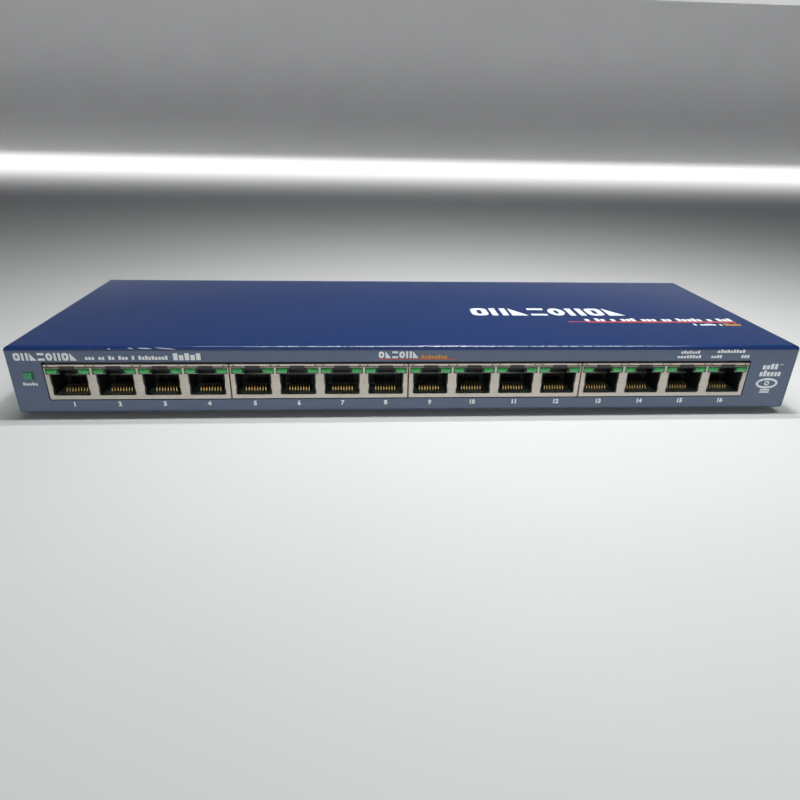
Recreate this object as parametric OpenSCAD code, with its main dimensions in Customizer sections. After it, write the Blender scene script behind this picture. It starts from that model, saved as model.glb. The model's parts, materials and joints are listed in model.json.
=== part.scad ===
// Desktop network switch, 16 ports: a two-part sheet-steel case on rubber feet, one circuit board,
// four gangs of four shielded modular jacks, and a DC inlet at the rear. Millimetres, +Z up.
// The origin is on the table under the centre of the case, and the ports face -Y.

/* [Case] */
// Width of the case
case_w = 286; // [284:1:300]
// Depth of the case
case_d = 103; // [101:1:130]
// Height of the case's top above the table
case_top = 27; // [26.8:0.1:30]
// Height of the rubber feet, which is where the case's underside is
foot_h = 1.8; // [1.5:0.1:2]
// Thickness of the sheet steel
sheet = 0.8; // [0.7:0.1:0.9]
// Outside bend radius of the base tray's lower edges
tray_bend = 1.3; // [1.1:0.1:2.5]
// Outside radius of the cover's rolled edges
cover_roll = 1.4; // [1:0.1:1.6]
// Number of cooling slots in each side of the cover
vent_count = 14; // [4:1:15]

/* [Jacks] */
// Distance between ports within a gang
port_pitch = 15.94; // [15.9:0.01:16]
// Distance from one gang of four to the next
gang_pitch = 64.28; // [64.2:0.01:64.6]
// How far the row of jacks lies to the right of the case's centre
run_offset = -3; // [-4:0.1:0]
// Height of the port openings' lower edge
port_floor = 8.65; // [8.6:0.05:8.8]
// Rise of the contact arms above level, in degrees
arm_rise = 22; // [18:1:23]

/* [Rear] */
// Place of the DC inlet across the rear wall
inlet_x = 112; // [100:1:115]
// Place of the cable-lock slot across the rear wall
lock_x = -122; // [-125:1:-100]
// Distance from the centre to each wall-mounting keyhole
keyhole_x = 81; // [78:1:84]

/* [Hidden] */
$fn = 48;
cut = 0.5;                                  // how far a cutter runs past what it cuts

// Case faces
half_w = case_w / 2;
front = -case_d / 2;
rear = case_d / 2;
floor_top = foot_h + sheet;
lip_z = case_top - 1.5;                     // seam between cover and front wall
flange_gap = 0.1;                           // between the tray's side flange and the cover
flange_half_w = half_w - sheet - flange_gap;
flange_top = 11;
cover_side_z = foot_h + tray_bend + 0.1;    // lower edge of the cover's sides
wall_in = 0.85;                             // the cover's sides start this far behind a wall's face
seam_gap = 0.05;                            // between a wall's top and the cover's rolled lip
fit_gap = 0.05;                             // round a part that fits closely in an opening
press_gap = 0.02;                           // round a part that is held by its fit

// Cooling slots
vent_pitch = 5;
vent_r = 1;
vent_low = 14;
vent_high = 21;

// Openings in the tray
keyhole_head_r = 3.75;
keyhole_shank_r = 1.9;
keyhole_travel = 8;
lock_w = 7;
lock_low = 12;
lock_high = 15;

// Feet
foot_stations = [for (x = [-122, 122]) for (y = [-36, 36]) [x, y]];
foot_r = 6.2;
foot_edge_r = 5.6;
foot_edge_h = 0.6;
foot_dimple_r = 2;
foot_dimple_h = 0.5;

// Board
board_t = 1.6;
board_z = 5.4;
board_top = board_z + board_t;
board_half_w = half_w - 5;
board_front = front + 2;
board_rear = rear - 2.6;
stud_r = 1.45;                              // M3 screws, a little under 3 mm
stud_hole_r = 1.5;
board_stations = [for (x = [-130, 0, 130]) for (y = [-10.5, 42]) [x, y]];
board_hole_r = 1.7;
post_r = 2.8;
post_rivet_r = 1.8;                         // the part of a post that is pressed into the tray
post_rivet_recess = 0.1;                    // the rivet's end stops short of the underside by this
film_t = 0.25;
film_margin = 2;
film_hole_r = 3.6;

// Screws
screw_head_r = 2.75;
board_head_h = 1.6;
board_screw_len = 4.4;
cover_stations = [-30, 30];
cover_screw_z = 7.2;
cover_screw_len = 4;
cover_head_root_r = 1.6;
countersink_root_r = 1.65;
countersink_r = 2.8;
recess_w = 3;
recess_h = 1.2;

// Jacks: depths are measured back from the case's front face
gangs = 4;
ports_per_gang = 4;
gang_w = 64;
shield_t = 0.25;
shield_z = 7.15;
shield_top = 20.3;
shield_depth = 16.3;
housing_top = shield_top - shield_t - fit_gap;
housing_depth = shield_depth - shield_t - fit_gap;
opening_half_w = 6.44;                      // opening in the shield
opening_top = 16.65;
led_window_half_w = 7.58;
led_window_top = 18.9;
notch_half_w = 2.9;
notch_top_half_w = 2.35;
notch_top = 19.8;
cavity_half_w = 5.95;                       // room for the plug in the housing
cavity_top = 16.65;
cavity_depth = 10.7;
latch_half_w = 2.85;
latch_top = 18.2;
led_in = 3.5;                               // indicator from its inner to its outer side
led_out = 7.32;
led_z = 17.05;
led_h = 1.7;
led_front = 0.1;
led_depth = 8.5;
window_margin = 0.3;                        // opening in the tray's front wall round all four shields
window_z = 6.8;
window_top = 21.2;

// Contacts
wires = 8;
wire_pitch = 1.02;
wire_w = 0.44;
wire_t = 0.3;
arm_len = 7.4;
arm_root_depth = 4.15;
arm_root_z = port_floor + 0.07;
arm_root_r = 0.19;
slot_w = 0.62;
trough_half_w = 4.3;
trough_z = 7.9;
terminal_front = 0.7;
terminal_end = 3.85;
terminal_foot_end = 3.4;
terminal_top = port_floor - fit_gap;
groove_depth = 0.4;                         // room below the floor for the fixed half of each contact
tip_slot_depth = 1.7;                       // room behind the cavity for the tips of the arms
tip_slot_top = 12.4;
tip_slot_z = 8.1;

// Inlet
inlet_z = 13.5;
inlet_w = 9;
inlet_h = 11;
inlet_len = 14.4;
inlet_bore_r = 3.15;
inlet_bore_depth = 9.5;
inlet_pin_r = 1.05;
inlet_pin_recess = 1;
inlet_pin_root_r = 0.8;
inlet_spring_w = 2.4;
inlet_spring_t = 0.3;
inlet_spring_len = 8.6;
inlet_spring_rise = 11;
inlet_spring_root = [rear - 12.4, inlet_z - 4.35];
inlet_spring_root_r = 0.25;
inlet_slot_half_w = 1.5;
inlet_slot_wall = 1;
inlet_slot_end = 2.6;
inlet_slot_overlap = 0.4;                   // how far the channel reaches into the bore

// Power indicator
power_x = -136.8;
power_z = 16.3;
power_w = 3.8;
power_h = 2.8;
power_depth = 7;
power_led_half_w = 1.4;
power_led_d = 2.4;
power_led_h = 1.2;
pipe_led_gap = 0.1;
pipe_led_inset = 0.2;                       // from the pipe's rear face to the indicator under it
pipe_chamfer = 1.8;

// Parts on the board: [x, y] places, then [width, depth, height] or [radius, height] sizes
chip_y = 12;
phy_stations = [[-74, chip_y], [62, chip_y]];
switch_station = [-6, chip_y];
chip_stations = concat([switch_station], phy_stations);
chip_h = 2;
phy_size = [24, 24, chip_h];
switch_size = [27, 27, chip_h];
phy_leads = 18;
switch_leads = 20;
chip_lead_pitch = 1.2;
chip_lead_reach = 0.8;
pad_size = [20, 20, 0.5];
sink_w = 36;
sink_h = 10;
sink_base_h = 2;
fin_t = 1.2;
fin_count = 9;
magnetics_size = [28, 14, 6];
magnetics_depth = 27;
magnetics_leads = 20;
magnetics_reach = 1.2;
memory_station = [24, 30];
memory_size = [5, 4, 1.6];
memory_leads = 4;
lead_pitch = 1.27;
lead_reach = 1;
lead_w = 0.4;
lead_t = 0.1;
crystal_xs = [-100, -32, 36];
crystal_r = 2.4;
crystal_half_d = 3.3;
crystal_h = 3.5;
regulator_xs = [86, 96, 106];
regulator_y = 22;
regulator_size = [6.6, 6.2, 2.3];
regulator_tab = [5.4, 4, 0.5];
inductor_xs = [89, 104, 119];
inductor_y = 4;
inductor_size = [12, 12, 6];
inductor_bore = [4.4, 1];
capacitor_xs = [80, 90, 124];
capacitor_y = 36;
capacitor_size = [4, 10.2];
capacitor_rim = [3.6, 0.4];
chip_cap_size = [1.6, 0.8, 0.8];
chip_cap_pitch = 7.5;
chip_cap_depth = 36.6;
chip_caps_per_gang = 8;
fuse_station = [101, 36];
fuse_size = [4.5, 3.2, 0.9];

function gang_x(g) = run_offset + (g - 1 - (gangs - 1) / 2) * gang_pitch;
function port_x(p) =
    gang_x(1 + floor((p - 1) / ports_per_gang))
    + ((p - 1) % ports_per_gang - (ports_per_gang - 1) / 2) * port_pitch;
function wire_x(w) = (w - (wires - 1) / 2) * wire_pitch;

// ---- helpers ----

// A block from one corner to the opposite one.
module block(low, high) {
    translate(low) cube(high - low);
}

// Sends a profile drawn in (depth, height) along X, from x0 over width w.
module along_x(x0, w) {
    translate([x0, 0, 0]) rotate([90, 0, 90]) linear_extrude(w) children();
}

// Sends a profile drawn in (x, height) along Y, from y0 over length l.
module along_y(y0, l) {
    translate([0, y0 + l, 0]) rotate([90, 0, 0]) linear_extrude(l) children();
}

// A rectangle from low to high with its two lower corners rounded.
module round_below(low, high, r) {
    translate([low[0] + r, low[1]]) square([high[0] - low[0] - 2 * r, r]);
    translate([low[0], low[1] + r]) square([high[0] - low[0], high[1] - low[1] - r]);
    for (x = [low[0] + r, high[0] - r]) translate([x, low[1] + r]) circle(r);
}

// A rectangle from low to high with its two upper corners rounded.
module round_above(low, high, r) {
    translate([low[0] + r, high[1] - r]) square([high[0] - low[0] - 2 * r, r]);
    translate(low) square([high[0] - low[0], high[1] - low[1] - r]);
    for (x = [low[0] + r, high[0] - r]) translate([x, high[1] - r]) circle(r);
}

// A closed solid whose four lower edges are bent with radius r.
module bent_below(half, y0, y1, z0, z1, r) {
    intersection() {
        along_y(y0, y1 - y0) round_below([-half, z0], [half, z1], r);
        along_x(-half, 2 * half) round_below([y0, z0], [y1, z1], r);
    }
}

// A closed solid whose four upper edges are rolled with radius r.
module bent_above(half, y0, y1, z0, z1, r) {
    intersection() {
        along_y(y0, y1 - y0) round_above([-half, z0], [half, z1], r);
        along_x(-half, 2 * half) round_above([y0, z0], [y1, z1], r);
    }
}

// A cross recess, to be cut from a screw head's face at z = 0.
module cross_recess() {
    arm_w = recess_w / 4;
    for (a = [0, 90]) rotate(a)
        translate([-recess_w / 2, -arm_w / 2, -recess_h / 2]) cube([recess_w, arm_w, recess_h]);
}

// Places children at each place of a list.
module at_each(places) {
    for (p = places) translate([p[0], p[1], 0]) children();
}

// ---- case ----

module vent_slots() {
    for (i = [0 : vent_count - 1]) translate([-half_w - cut, (i - (vent_count - 1) / 2) * vent_pitch, 0]) {
        translate([0, -vent_r, vent_low]) cube([case_w + 2 * cut, 2 * vent_r, vent_high - vent_low]);
        for (z = [vent_low, vent_high]) translate([0, 0, z]) rotate([0, 90, 0])
            cylinder(r = vent_r, h = case_w + 2 * cut);
    }
}

// Places children, drawn facing up, at each cover screw: z = 0 is the outside of the cover's side.
module at_cover_screws() {
    for (side = [0, 1]) mirror([side, 0, 0]) for (y = cover_stations)
        translate([half_w, y, cover_screw_z]) rotate([0, 90, 0]) children();
}

// Top and both sides, with a rolled lip along the front and the rear.
module top_cover() {
    color([0.2, 0.27, 0.45]) difference() {
        bent_above(half_w, front, rear, cover_side_z, case_top, cover_roll);
        block([-half_w + sheet, front + wall_in, 0], [half_w - sheet, rear - wall_in, case_top - sheet]);
        block([-half_w - cut, front - cut, 0], [half_w + cut, front + wall_in, lip_z]);
        block([-half_w - cut, rear - wall_in, 0], [half_w + cut, rear + cut, lip_z]);
        vent_slots();
        at_cover_screws() translate([0, 0, -sheet])
            cylinder(r1 = countersink_root_r, r2 = countersink_r, h = sheet);
    }
}

module keyholes() {
    h = sheet + 2 * cut;
    for (x = [-keyhole_x, keyhole_x]) translate([x, 0, foot_h - cut]) {
        cylinder(r = keyhole_head_r, h = h);
        translate([-keyhole_shank_r, 0, 0]) cube([2 * keyhole_shank_r, keyhole_travel, h]);
        translate([0, keyhole_travel, 0]) cylinder(r = keyhole_shank_r, h = h);
    }
}

module jack_window() {
    half = ((gangs - 1) * gang_pitch + gang_w) / 2 + window_margin;
    block([run_offset - half, front - cut, window_z], [run_offset + half, front + sheet + cut, window_top]);
}

module power_window() {
    half = [power_w / 2 + fit_gap, power_h / 2 + fit_gap];
    block([power_x - half[0], front - cut, power_z - half[1]],
          [power_x + half[0], front + sheet + cut, power_z + half[1]]);
}

module rear_cutouts() {
    margin = 2 * fit_gap;
    block([inlet_x - inlet_w / 2 - margin, rear - 2 * sheet, board_top - margin],
          [inlet_x + inlet_w / 2 + margin, rear + cut, board_top + inlet_h + margin]);
    block([lock_x - lock_w / 2, rear - 2 * sheet, lock_low], [lock_x + lock_w / 2, rear + cut, lock_high]);
}

// Bottom, front wall, rear wall and two low side flanges from one bent sheet.
module base_tray() {
    color([0.35, 0.39, 0.45]) difference() {
        union() {
            intersection() {
                bent_below(half_w, front, rear, foot_h, lip_z - seam_gap, tray_bend);
                union() {
                    block([-half_w, front, 0], [half_w, front + sheet, lip_z]);
                    block([-half_w, rear - sheet, 0], [half_w, rear, lip_z]);
                }
            }
            bent_below(flange_half_w, front, rear, foot_h, flange_top, tray_bend);
        }
        bent_below(flange_half_w - sheet, front + sheet, rear - sheet, floor_top, case_top,
                   tray_bend - sheet);
        keyholes();
        jack_window();
        power_window();
        rear_cutouts();
        at_cover_screws() translate([0, 0, -cover_screw_len - cut])
            cylinder(r = stud_hole_r, h = cover_screw_len + 2 * cut);
        at_each(board_stations) translate([0, 0, foot_h - cut])
            cylinder(r = post_rivet_r + press_gap, h = sheet + 2 * cut);
    }
}

// Countersunk screws that hold the cover's sides to the tray's flanges.
module cover_screws() {
    color([0.16, 0.17, 0.2]) at_cover_screws() difference() {
        union() {
            translate([0, 0, -sheet])
                cylinder(r1 = cover_head_root_r, r2 = screw_head_r, h = sheet - press_gap);
            translate([0, 0, -cover_screw_len]) cylinder(r = stud_r, h = cover_screw_len - sheet);
        }
        cross_recess();
    }
}

module rubber_feet() {
    color([0.08, 0.08, 0.08]) at_each(foot_stations) difference() {
        union() {
            cylinder(r1 = foot_edge_r, r2 = foot_r, h = foot_edge_h);
            translate([0, 0, foot_edge_h]) cylinder(r = foot_r, h = foot_h - foot_edge_h);
        }
        translate([0, 0, -cut]) cylinder(r = foot_dimple_r, h = cut + foot_dimple_h);
    }
}

// Threaded posts pressed into the tray's floor.
module standoffs() {
    color([0.75, 0.72, 0.62]) at_each(board_stations) difference() {
        union() {
            translate([0, 0, foot_h + post_rivet_recess]) cylinder(r = post_rivet_r, h = sheet);
            translate([0, 0, floor_top]) cylinder(r = post_r, h = board_z - floor_top);
        }
        translate([0, 0, foot_h - cut]) cylinder(r = stud_hole_r, h = board_z);
    }
}

module board_screws() {
    color([0.75, 0.75, 0.77]) at_each(board_stations) translate([0, 0, board_top]) difference() {
        union() {
            cylinder(r = screw_head_r, h = board_head_h);
            translate([0, 0, -board_screw_len]) cylinder(r = stud_r, h = board_screw_len);
        }
        translate([0, 0, board_head_h]) cross_recess();
    }
}

// Film that keeps the solder joints off the tray, with holes for the posts and the keyholes.
module insulator_sheet() {
    keyhole_margin = 1.25;
    half = keyhole_head_r + keyhole_margin;
    color([0.1, 0.1, 0.11]) difference() {
        block([-board_half_w, board_front + film_margin, floor_top],
              [board_half_w, board_rear - film_margin, floor_top + film_t]);
        at_each(board_stations) cylinder(r = film_hole_r, h = board_z);
        for (x = [-keyhole_x, keyhole_x])
            block([x - half, -half, 0], [x + half, keyhole_travel + half, board_z]);
    }
}

module main_board() {
    color([0.07, 0.3, 0.18]) difference() {
        block([-board_half_w, board_front, board_z], [board_half_w, board_rear, board_top]);
        at_each(board_stations) cylinder(r = board_hole_r, h = board_top + cut);
    }
}

module power_led() {
    y = front + power_depth - power_led_d - pipe_led_inset;
    color([0.3, 0.75, 0.45])
        block([power_x - power_led_half_w, y, board_top],
              [power_x + power_led_half_w, y + power_led_d, board_top + power_led_h]);
}

// Clear elbow from the indicator on the board to the front wall.
module power_light_pipe() {
    low = power_z - power_h / 2;
    high = power_z + power_h / 2;
    foot = board_top + power_led_h + pipe_led_gap;
    back = front + power_depth;
    color([0.25, 0.55, 0.4]) along_x(power_x - power_w / 2, power_w) polygon([
        [front, low],
        [back - power_h, low],
        [back - power_h, foot],
        [back, foot],
        [back, high - pipe_chamfer],
        [back - pipe_chamfer, high],
        [front, high]
    ]);
}

// ---- jacks ----

// Outline of one port's opening in the shield, about the port's centre line.
module shield_opening() {
    overlap = 0.05;
    translate([-opening_half_w, port_floor]) square([2 * opening_half_w, opening_top - port_floor]);
    translate([-led_window_half_w, opening_top - overlap])
        square([2 * led_window_half_w, led_window_top - opening_top + overlap]);
    polygon([
        [-notch_half_w, led_window_top - overlap], [notch_half_w, led_window_top - overlap],
        [notch_top_half_w, notch_top], [-notch_top_half_w, notch_top]
    ]);
}

module port_offsets() {
    for (i = [0 : ports_per_gang - 1])
        translate([(i - (ports_per_gang - 1) / 2) * port_pitch, 0, 0]) children();
}

// Folded tinplate box over a gang of four, open below.
module jack_shield(g) {
    color([0.8, 0.77, 0.7]) translate([gang_x(g), 0, 0]) difference() {
        block([-gang_w / 2, front, shield_z], [gang_w / 2, front + shield_depth, shield_top]);
        block([-gang_w / 2 + shield_t, front + shield_t, 0],
              [gang_w / 2 - shield_t, front + shield_depth - shield_t, shield_top - shield_t]);
        port_offsets() along_y(front - cut, shield_t + 2 * cut) shield_opening();
    }
}

// Room in the housing for one wire: its fixed half below the floor, and the tip of its arm at the back.
module wire_channel() {
    half = slot_w / 2;
    start = front + terminal_front;
    block([-half, front + cavity_depth - cut, tip_slot_z],
          [half, front + cavity_depth + tip_slot_depth, tip_slot_top]);
    block([-half, start - fit_gap, port_floor - groove_depth],
          [half, front + terminal_end + cut, port_floor + cut]);
    block([-half, start - fit_gap, board_top - cut], [half, start + wire_t + fit_gap, port_floor]);
    block([-half, start, board_top - cut],
          [half, front + terminal_foot_end + fit_gap, board_top + wire_t + fit_gap]);
}

// Room for a plug, its latch, two indicators and eight contacts.
module housing_cavity() {
    back = front + cavity_depth;
    block([-cavity_half_w, front, port_floor], [cavity_half_w, back, cavity_top]);
    block([-latch_half_w, front, cavity_top - cut], [latch_half_w, back, latch_top]);
    block([-trough_half_w, front + terminal_end + fit_gap, trough_z],
          [trough_half_w, back, port_floor + cut]);
    for (s = [0, 1]) mirror([s, 0, 0])
        block([led_in - fit_gap, front, led_z - fit_gap],
              [led_out + fit_gap, front + led_depth + 2 * fit_gap, led_z + led_h + fit_gap]);
    for (w = [0 : wires - 1]) translate([wire_x(w), 0, 0]) wire_channel();
}

module jack_housing(g) {
    half = gang_w / 2 - shield_t - fit_gap;
    color([0.06, 0.08, 0.08]) translate([gang_x(g), 0, 0]) difference() {
        block([-half, front + shield_t + fit_gap, board_top], [half, front + housing_depth, housing_top]);
        port_offsets() housing_cavity();
    }
}

// The fixed half of each contact: along the housing's floor, round its front edge and back along the board.
module jack_terminals(g) {
    start = front + terminal_front;
    foot_end = front + terminal_foot_end;
    top_end = front + terminal_end;
    foot_top = board_top + wire_t;
    top_low = terminal_top - wire_t;
    color([0.75, 0.74, 0.7]) translate([gang_x(g), 0, 0]) port_offsets()
        for (w = [0 : wires - 1]) along_x(wire_x(w) - wire_w / 2, wire_w) polygon([
            [start, board_top], [foot_end, board_top], [foot_end, foot_top], [start + wire_t, foot_top],
            [start + wire_t, top_low], [top_end, top_low], [top_end, terminal_top], [start, terminal_top]
        ]);
}

module port_leds(g) {
    color([0.2, 0.65, 0.35]) translate([gang_x(g), 0, 0]) port_offsets() for (s = [0, 1]) mirror([s, 0, 0])
        block([led_in, front + led_front, led_z], [led_out, front + led_depth, led_z + led_h]);
}

// The sprung arms of one port: each turns about the bend at its root.
module contacts(p) {
    color([0.9, 0.7, 0.3]) translate([port_x(p), front + arm_root_depth, arm_root_z])
        for (w = [0 : wires - 1]) along_x(wire_x(w) - wire_w / 2, wire_w) {
            straight = arm_len - wire_t / 2;
            circle(arm_root_r);
            rotate(arm_rise) translate([0, -wire_t / 2]) square([straight, wire_t]);
            rotate(arm_rise) translate([straight, 0]) circle(wire_t / 2);
        }
}

// ---- parts on the board ----

// A moulded package is drawn as two stacked blocks, the upper one a little smaller.
module package(size) {
    step = 0.3;
    split = size[2] * 0.6;
    translate([-size[0] / 2, -size[1] / 2, lead_t]) cube([size[0], size[1], split - lead_t]);
    translate([step - size[0] / 2, step - size[1] / 2, split])
        cube([size[0] - 2 * step, size[1] - 2 * step, size[2] - split]);
}

// Rows of flat leads along the two long sides of a package of depth d.
module leads(count, pitch, d, reach) {
    for (i = [0 : count - 1])
        translate([(i - (count - 1) / 2) * pitch - lead_w / 2, -d / 2 - reach, 0])
            cube([lead_w, d + 2 * reach, lead_t]);
}

module magnetics_modules() {
    y = front + magnetics_depth;
    stations = [for (g = [1 : gangs]) for (s = [-1, 1]) [gang_x(g) + s * gang_pitch / 4, y]];
    color([0.12, 0.12, 0.13]) at_each(stations) translate([0, 0, board_top]) {
        package(magnetics_size);
        leads(magnetics_leads, lead_pitch, magnetics_size[1], magnetics_reach);
    }
}

module switch_chip() {
    color([0.1, 0.1, 0.1]) at_each([switch_station]) translate([0, 0, board_top]) {
        package(switch_size);
        leads(switch_leads, chip_lead_pitch, switch_size[1], chip_lead_reach);
    }
}

module phy_chips() {
    color([0.1, 0.1, 0.1]) at_each(phy_stations) translate([0, 0, board_top]) {
        package(phy_size);
        leads(phy_leads, chip_lead_pitch, phy_size[1], chip_lead_reach);
    }
}

module thermal_pads() {
    color([0.6, 0.6, 0.65]) at_each(chip_stations)
        translate([-pad_size[0] / 2, -pad_size[1] / 2, board_top + chip_h]) cube(pad_size);
}

// Extruded sinks, each with a row of straight fins.
module heatsinks() {
    pitch = (sink_w - fin_t) / (fin_count - 1);
    color([0.7, 0.71, 0.72]) at_each(chip_stations)
        translate([-sink_w / 2, -sink_w / 2, board_top + chip_h + pad_size[2]]) {
            cube([sink_w, sink_w, sink_base_h]);
            for (i = [0 : fin_count - 1]) translate([i * pitch, 0, 0]) cube([fin_t, sink_w, sink_h]);
        }
}

module settings_memory() {
    color([0.1, 0.1, 0.1]) at_each([memory_station]) translate([0, 0, board_top]) {
        package(memory_size);
        leads(memory_leads, lead_pitch, memory_size[1], lead_reach);
    }
}

// Flat oval cans.
module clock_crystals() {
    color([0.78, 0.78, 0.78]) for (x = crystal_xs) translate([x, chip_y, board_top]) {
        translate([-crystal_r, -crystal_half_d, 0]) cube([2 * crystal_r, 2 * crystal_half_d, crystal_h]);
        for (y = [-crystal_half_d, crystal_half_d]) translate([0, y, 0])
            cylinder(r = crystal_r, h = crystal_h);
    }
}

// Small power packages, each with a soldered tab at its rear.
module voltage_regulators() {
    color([0.12, 0.12, 0.12]) for (x = regulator_xs) translate([x, regulator_y, board_top]) {
        package(regulator_size);
        translate([-regulator_tab[0] / 2, regulator_size[1] / 2, 0]) cube(regulator_tab);
    }
}

module power_inductors() {
    size = inductor_size;
    color([0.25, 0.25, 0.26]) for (x = inductor_xs) translate([x, inductor_y, board_top]) difference() {
        translate([-size[0] / 2, -size[1] / 2, 0]) cube(size);
        translate([0, 0, size[2] - inductor_bore[1]])
            cylinder(r = inductor_bore[0], h = inductor_bore[1] + cut);
    }
}

module electrolytic_capacitors() {
    color([0.15, 0.2, 0.35]) for (x = capacitor_xs) translate([x, capacitor_y, board_top]) {
        cylinder(r = capacitor_size[0], h = capacitor_size[1]);
        translate([0, 0, capacitor_size[1]])
            cylinder(r1 = capacitor_size[0], r2 = capacitor_rim[0], h = capacitor_rim[1]);
    }
}

module chip_capacitors() {
    count = chip_caps_per_gang;
    color([0.7, 0.6, 0.45]) for (g = [1 : gangs]) for (i = [0 : count - 1])
        translate([gang_x(g) + (i - (count - 1) / 2) * chip_cap_pitch - chip_cap_size[0] / 2,
                   front + chip_cap_depth, board_top]) cube(chip_cap_size);
}

module input_fuse() {
    color([0.75, 0.7, 0.5]) at_each([fuse_station]) translate([0, 0, board_top]) cube(fuse_size);
}

// ---- DC inlet ----

// Moulded inlet with a blind bore for the plug and a channel below it for the sprung contact.
module inlet_housing() {
    pin_hole_r = inlet_pin_root_r + press_gap;
    channel_top = inlet_z - inlet_bore_r + inlet_slot_overlap;
    color([0.07, 0.07, 0.08]) difference() {
        block([inlet_x - inlet_w / 2, rear - inlet_len, board_top],
              [inlet_x + inlet_w / 2, rear, board_top + inlet_h]);
        translate([inlet_x, rear - inlet_bore_depth, inlet_z]) rotate([-90, 0, 0])
            cylinder(r = inlet_bore_r, h = inlet_bore_depth + cut);
        translate([inlet_x, rear - inlet_len - cut, inlet_z]) rotate([-90, 0, 0])
            cylinder(r = pin_hole_r, h = inlet_len);
        translate([inlet_x, 0, 0])
            block([-inlet_slot_half_w, rear - inlet_len + inlet_slot_wall, board_top + inlet_slot_wall],
                  [inlet_slot_half_w, rear - inlet_slot_end, channel_top]);
    }
}

// Centre pin: a thinner root held in the inlet's rear wall, and a free end with a chamfer.
module inlet_pin() {
    chamfer = inlet_pin_r / 2;
    root_len = inlet_len - inlet_bore_depth;
    free_len = inlet_bore_depth - inlet_pin_recess - chamfer;
    color([0.8, 0.8, 0.78]) translate([inlet_x, rear - inlet_len, inlet_z]) rotate([-90, 0, 0]) {
        cylinder(r = inlet_pin_root_r, h = root_len);
        translate([0, 0, root_len]) cylinder(r = inlet_pin_r, h = free_len);
        translate([0, 0, root_len + free_len]) cylinder(r1 = inlet_pin_r, r2 = chamfer, h = chamfer);
    }
}

// Leaf that presses up on the plug's barrel and turns about its root.
module inlet_spring() {
    t = inlet_spring_t;
    color([0.8, 0.8, 0.78]) along_x(inlet_x - inlet_spring_w / 2, inlet_spring_w)
        translate(inlet_spring_root) {
            circle(inlet_spring_root_r);
            rotate(inlet_spring_rise) translate([0, -t / 2]) square([inlet_spring_len, t]);
            rotate(inlet_spring_rise) translate([inlet_spring_len, 0]) circle(t / 2);
        }
}

top_cover();
base_tray();
cover_screws();
rubber_feet();
standoffs();
board_screws();
insulator_sheet();
main_board();
power_led();
power_light_pipe();
jack_shield(1);  // jack_shield_1
jack_shield(2);  // jack_shield_2
jack_shield(3);  // jack_shield_3
jack_shield(4);  // jack_shield_4
jack_housing(1);  // jack_housing_1
jack_housing(2);  // jack_housing_2
jack_housing(3);  // jack_housing_3
jack_housing(4);  // jack_housing_4
jack_terminals(1);  // jack_terminals_1
jack_terminals(2);  // jack_terminals_2
jack_terminals(3);  // jack_terminals_3
jack_terminals(4);  // jack_terminals_4
port_leds(1);  // port_leds_1
port_leds(2);  // port_leds_2
port_leds(3);  // port_leds_3
port_leds(4);  // port_leds_4
contacts(1);  // contacts_01
contacts(2);  // contacts_02
contacts(3);  // contacts_03
contacts(4);  // contacts_04
contacts(5);  // contacts_05
contacts(6);  // contacts_06
contacts(7);  // contacts_07
contacts(8);  // contacts_08
contacts(9);  // contacts_09
contacts(10);  // contacts_10
contacts(11);  // contacts_11
contacts(12);  // contacts_12
contacts(13);  // contacts_13
contacts(14);  // contacts_14
contacts(15);  // contacts_15
contacts(16);  // contacts_16
magnetics_modules();
switch_chip();
phy_chips();
thermal_pads();
heatsinks();
settings_memory();
clock_crystals();
voltage_regulators();
power_inductors();
electrolytic_capacitors();
chip_capacitors();
input_fuse();
inlet_housing();
inlet_pin();
inlet_spring();
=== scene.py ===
"""Finish of the desktop network switch: fine jack detail, printing, materials, studio and camera."""
import json
import math
import random

import bmesh
import bpy
from mathutils import Matrix, Vector


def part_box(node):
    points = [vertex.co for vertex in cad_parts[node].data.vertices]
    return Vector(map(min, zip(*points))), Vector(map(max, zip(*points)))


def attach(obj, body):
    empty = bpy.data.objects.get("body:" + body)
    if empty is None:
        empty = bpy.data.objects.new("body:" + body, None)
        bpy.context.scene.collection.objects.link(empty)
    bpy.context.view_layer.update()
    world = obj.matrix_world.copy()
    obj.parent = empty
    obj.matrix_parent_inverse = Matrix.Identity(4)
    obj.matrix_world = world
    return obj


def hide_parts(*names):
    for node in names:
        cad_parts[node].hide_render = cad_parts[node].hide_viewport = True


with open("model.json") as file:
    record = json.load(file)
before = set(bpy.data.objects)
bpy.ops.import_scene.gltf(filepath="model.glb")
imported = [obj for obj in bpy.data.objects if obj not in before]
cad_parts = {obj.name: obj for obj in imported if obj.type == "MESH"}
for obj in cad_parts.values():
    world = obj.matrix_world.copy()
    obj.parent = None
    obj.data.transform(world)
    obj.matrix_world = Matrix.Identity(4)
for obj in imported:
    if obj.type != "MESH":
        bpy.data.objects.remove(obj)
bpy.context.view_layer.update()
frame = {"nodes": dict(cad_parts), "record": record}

MM = 0.001
NODES = frame["nodes"]
CASE = "case"

# ---- places and sizes, in millimetres, from the frame ----


def node_box(name):
    """Lowest and highest corner of a CAD node, in millimetres."""
    low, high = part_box(name)
    return Vector(low) / MM, Vector(high) / MM


FRONT = node_box("base_tray")[0].y
TOP_Z = node_box("top_cover")[1].z
GANGS = range(1, 5)
PORTS = range(1, 17)
PORTS_PER_GANG = 4


def port_x(port):
    """The middle of a port, which is the middle of its contacts."""
    low, high = node_box(f"contacts_{port:02d}")
    return (low.x + high.x) / 2


def ports_of(gang):
    """Numbers of the ports in a gang."""
    first = 1 + (gang - 1) * PORTS_PER_GANG
    return range(first, first + PORTS_PER_GANG)


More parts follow.
